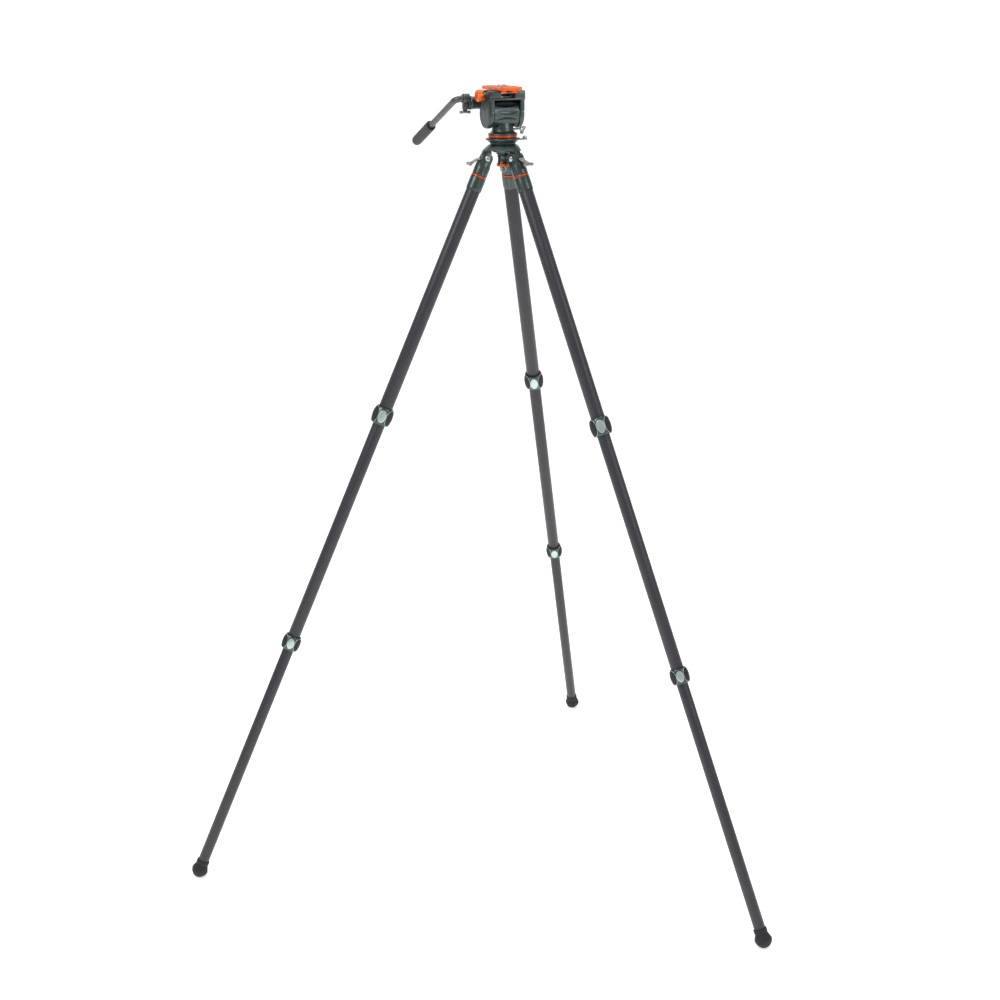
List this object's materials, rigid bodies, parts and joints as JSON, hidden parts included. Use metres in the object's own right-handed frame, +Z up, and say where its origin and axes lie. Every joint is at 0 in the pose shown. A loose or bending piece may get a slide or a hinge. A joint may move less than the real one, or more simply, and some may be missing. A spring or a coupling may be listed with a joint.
{
  "type": "tripod with fluid head",
  "caption": "Three-section tripod with twist-lock carbon legs, a levelling base and a fluid pan-and-tilt head with a quick-release plate and a pan handle.",
  "frame": {"origin": "centre of the quick-release plate's top face on the pan axis", "axes": "+Z up along the pan axis, -Y the camera's viewing direction, +X along the tilt axis to the operator's right"},
  "size_m": [1.1468, 1.2511, 1.666],
  "materials": {
    "green_grey_metal": "hammered dark green-grey anodised metal, satin",
    "dark_metal": "black anodised, satin",
    "orange_metal": "orange anodised, satin",
    "carbon": "woven carbon fibre under satin lacquer",
    "rubber": "matte",
    "steel": "bright, satin",
    "liner": "low-friction nylon",
    "glass": "clear vial with green fluid"
  },
  "bodies": {
    "spider": {"spider": "green_grey_metal"},
    "level_cradle": {"ball_liner": "liner"},
    "level_base": {"level_flange": "green_grey_metal", "bubble_level": "glass", "base_ring": "orange_metal"},
    "level_handle": {"level_handle": "green_grey_metal", "handle_ring": "orange_metal"},
    "hook": {"hook_ring": "steel"},
    "pan_head": {"pan_base": "green_grey_metal", "drum_body": "green_grey_metal"},
    "pan_lock": {"pan_lock": "steel"},
    "tilt_head": {"tilt_yoke": "green_grey_metal", "tilt_shaft": "steel", "tilt_cap": "dark_metal", "rosette_lug": "dark_metal"},
    "tilt_lock": {"tilt_lock": "dark_metal"},
    "jaw": {"clamp_jaw": "green_grey_metal"},
    "knob": {"clamp_knob": "orange_metal"},
    "plate": {"quick_plate": "orange_metal"},
    "camera_screw": {"camera_screw": "steel"},
    "handle": {"handle_socket": "dark_metal", "pan_bar": "dark_metal", "grip": "rubber"},
    "handle_screw": {"handle_screw": "dark_metal"},
    "left_leg": {"left_leg_top": "green_grey_metal", "left_accent_ring": "orange_metal", "left_pivot_bolt": "steel", "left_upper_tube": "carbon", "left_upper_collet": "liner"},
    "left_latch": {"left_stop_latch": "steel"},
    "left_upper_lock": {"left_upper_lock": "green_grey_metal"},
    "left_middle": {"left_middle_tube": "carbon", "left_lower_collet": "liner"},
    "left_lower_lock": {"left_lower_lock": "green_grey_metal"},
    "left_lower": {"left_lower_tube": "carbon", "left_foot": "rubber"},
    "rear_leg": {"rear_leg_top": "green_grey_metal", "rear_accent_ring": "orange_metal", "rear_pivot_bolt": "steel", "rear_upper_tube": "carbon", "rear_upper_collet": "liner"},
    "rear_latch": {"rear_stop_latch": "steel"},
    "rear_upper_lock": {"rear_upper_lock": "green_grey_metal"},
    "rear_middle": {"rear_middle_tube": "carbon", "rear_lower_collet": "liner"},
    "rear_lower_lock": {"rear_lower_lock": "green_grey_metal"},
    "rear_lower": {"rear_lower_tube": "carbon", "rear_foot": "rubber"},
    "right_leg": {"right_leg_top": "green_grey_metal", "right_accent_ring": "orange_metal", "right_pivot_bolt": "steel", "right_upper_tube": "carbon", "right_upper_collet": "liner"},
    "right_latch": {"right_stop_latch": "steel"},
    "right_upper_lock": {"right_upper_lock": "green_grey_metal"},
    "right_middle": {"right_middle_tube": "carbon", "right_lower_collet": "liner"},
    "right_lower_lock": {"right_lower_lock": "green_grey_metal"},
    "right_lower": {"right_lower_tube": "carbon", "right_foot": "rubber"}
  },
  "joints": [
    {"name": "level_roll", "type": "hinge", "parent": "spider", "child": "level_cradle", "pos_m": [0, 0, -0.104], "axis": [0.9863, 0.165, 0], "range_deg": [-5, 5]},
    {"name": "level_pitch", "type": "hinge", "parent": "level_cradle", "child": "level_base", "pos_m": [0, 0, -0.104], "axis": [0.165, -0.9863, 0], "range_deg": [-5, 5]},
    {"name": "level_handle_turn", "type": "hinge", "parent": "level_base", "child": "level_handle", "pos_m": [0, 0, -0.104], "axis": [0, 0, 1], "range_deg": [-30, 360]},
    {"name": "hook_swing", "type": "hinge", "parent": "level_handle", "child": "hook", "pos_m": [0, 0, -0.16], "axis": [1, 0, 0], "range_deg": [-70, 70]},
    {"name": "pan", "type": "hinge", "parent": "level_base", "child": "pan_head", "pos_m": [0, 0, -0.095], "axis": [0, 0, 1], "continuous": true},
    {"name": "pan_lock_turn", "type": "hinge", "parent": "pan_head", "child": "pan_lock", "pos_m": [0.03, 0, -0.0855], "axis": [1, 0, 0], "range_deg": [-10, 180]},
    {"name": "tilt", "type": "hinge", "parent": "pan_head", "child": "tilt_head", "pos_m": [0, 0, -0.0535], "axis": [1, 0, 0], "range_deg": [-60, 90]},
    {"name": "tilt_lock_turn", "type": "hinge", "parent": "tilt_head", "child": "tilt_lock", "pos_m": [0.0405, 0, -0.0535], "axis": [1, 0, 0], "range_deg": [0, 75]},
    {"name": "knob_turn", "type": "hinge", "parent": "jaw", "child": "knob", "pos_m": [-0.0485, 0, -0.0175], "axis": [1, 0, 0], "range_deg": [0, 720]},
    {"name": "jaw_slide", "type": "slide", "parent": "tilt_head", "child": "jaw", "axis": [-1, 0, 0], "range_m": [0, 0.0025]},
    {"name": "plate_slide", "type": "slide", "parent": "tilt_head", "child": "plate", "axis": [0, 1, 0], "range_m": [-0.01, 0.03]},
    {"name": "camera_screw_turn", "type": "hinge", "parent": "plate", "child": "camera_screw", "pos_m": [0, -0.01, 0], "axis": [0, 0, 1], "continuous": true},
    {"name": "handle_angle", "type": "hinge", "parent": "tilt_head", "child": "handle", "pos_m": [-0.057, 0.037, -0.033], "axis": [1, 0, 0], "range_deg": [-60, 60]},
    {"name": "handle_screw_turn", "type": "hinge", "parent": "handle", "child": "handle_screw", "pos_m": [-0.0668, 0.037, -0.045], "axis": [0, 0, 1], "range_deg": [-60, 0]},
    {"name": "left_leg_swing", "type": "hinge", "parent": "spider", "child": "left_leg", "pos_m": [-0.03534, 0.0034, -0.141], "axis": [0.0958, 0.9954, 0], "range_deg": [-22, 50]},
    {"name": "left_latch_swing", "type": "hinge", "parent": "left_leg", "child": "left_latch", "pos_m": [-0.05136, 0.00494, -0.1415], "axis": [0.0958, 0.9954, 0], "range_deg": [0, 25], "stiffness_Nm_per_rad": 0.3, "springref_deg": -11.46},
    {"name": "left_upper_lock_turn", "type": "hinge", "parent": "left_leg", "child": "left_upper_lock", "pos_m": [-0.26356, 0.02538, -0.65597], "axis": [0.4049, -0.039, 0.9135], "range_deg": [0, 100]},
    {"name": "left_middle_slide", "type": "slide", "parent": "left_leg", "child": "left_middle", "axis": [0.4049, -0.039, 0.9135], "range_m": [0, 0.41]},
    {"name": "left_lower_lock_turn", "type": "hinge", "parent": "left_middle", "child": "left_lower_lock", "pos_m": [-0.47482, 0.04572, -1.13265], "axis": [0.4049, -0.039, 0.9135], "range_deg": [0, 100]},
    {"name": "left_lower_slide", "type": "slide", "parent": "left_middle", "child": "left_lower", "axis": [0.4049, -0.039, 0.9135], "range_m": [0, 0.51]},
    {"name": "rear_leg_swing", "type": "hinge", "parent": "spider", "child": "rear_leg", "pos_m": [0.02062, 0.0289, -0.141], "axis": [0.8141, -0.5807, 0], "range_deg": [-22, 50]},
    {"name": "rear_latch_swing", "type": "hinge", "parent": "rear_leg", "child": "rear_latch", "pos_m": [0.02996, 0.042, -0.1415], "axis": [0.8141, -0.5807, 0], "range_deg": [0, 25], "stiffness_Nm_per_rad": 0.3, "springref_deg": -11.46},
    {"name": "rear_upper_lock_turn", "type": "hinge", "parent": "rear_leg", "child": "rear_upper_lock", "pos_m": [0.15376, 0.21556, -0.65597], "axis": [-0.2362, -0.3311, 0.9135], "range_deg": [0, 100]},
    {"name": "rear_middle_slide", "type": "slide", "parent": "rear_leg", "child": "rear_middle", "axis": [-0.2362, -0.3311, 0.9135], "range_m": [0, 0.41]},
    {"name": "rear_lower_lock_turn", "type": "hinge", "parent": "rear_middle", "child": "rear_lower_lock", "pos_m": [0.277, 0.38834, -1.13265], "axis": [-0.2362, -0.3311, 0.9135], "range_deg": [0, 100]},
    {"name": "rear_lower_slide", "type": "slide", "parent": "rear_middle", "child": "rear_lower", "axis": [-0.2362, -0.3311, 0.9135], "range_m": [0, 0.51]},
    {"name": "right_leg_swing", "type": "hinge", "parent": "spider", "child": "right_leg", "pos_m": [0.01472, -0.0323, -0.141], "axis": [-0.91, -0.4147, 0], "range_deg": [-22, 50]},
    {"name": "right_latch_swing", "type": "hinge", "parent": "right_leg", "child": "right_latch", "pos_m": [0.0214, -0.04695, -0.1415], "axis": [-0.91, -0.4147, 0], "range_deg": [0, 25], "stiffness_Nm_per_rad": 0.3, "springref_deg": -11.46},
    {"name": "right_upper_lock_turn", "type": "hinge", "parent": "right_leg", "child": "right_upper_lock", "pos_m": [0.1098, -0.24094, -0.65597], "axis": [-0.1687, 0.3701, 0.9135], "range_deg": [0, 100]},
    {"name": "right_middle_slide", "type": "slide", "parent": "right_leg", "child": "right_middle", "axis": [-0.1687, 0.3701, 0.9135], "range_m": [0, 0.41]},
    {"name": "right_lower_lock_turn", "type": "hinge", "parent": "right_middle", "child": "right_lower_lock", "pos_m": [0.19781, -0.43406, -1.13265], "axis": [-0.1687, 0.3701, 0.9135], "range_deg": [0, 100]},
    {"name": "right_lower_slide", "type": "slide", "parent": "right_middle", "child": "right_lower", "axis": [-0.1687, 0.3701, 0.9135], "range_m": [0, 0.51]}
  ],
  "couplings": [
    {"joint": "knob_turn", "follows": "jaw_slide", "rad_per_m": 5026.5}
  ]
}
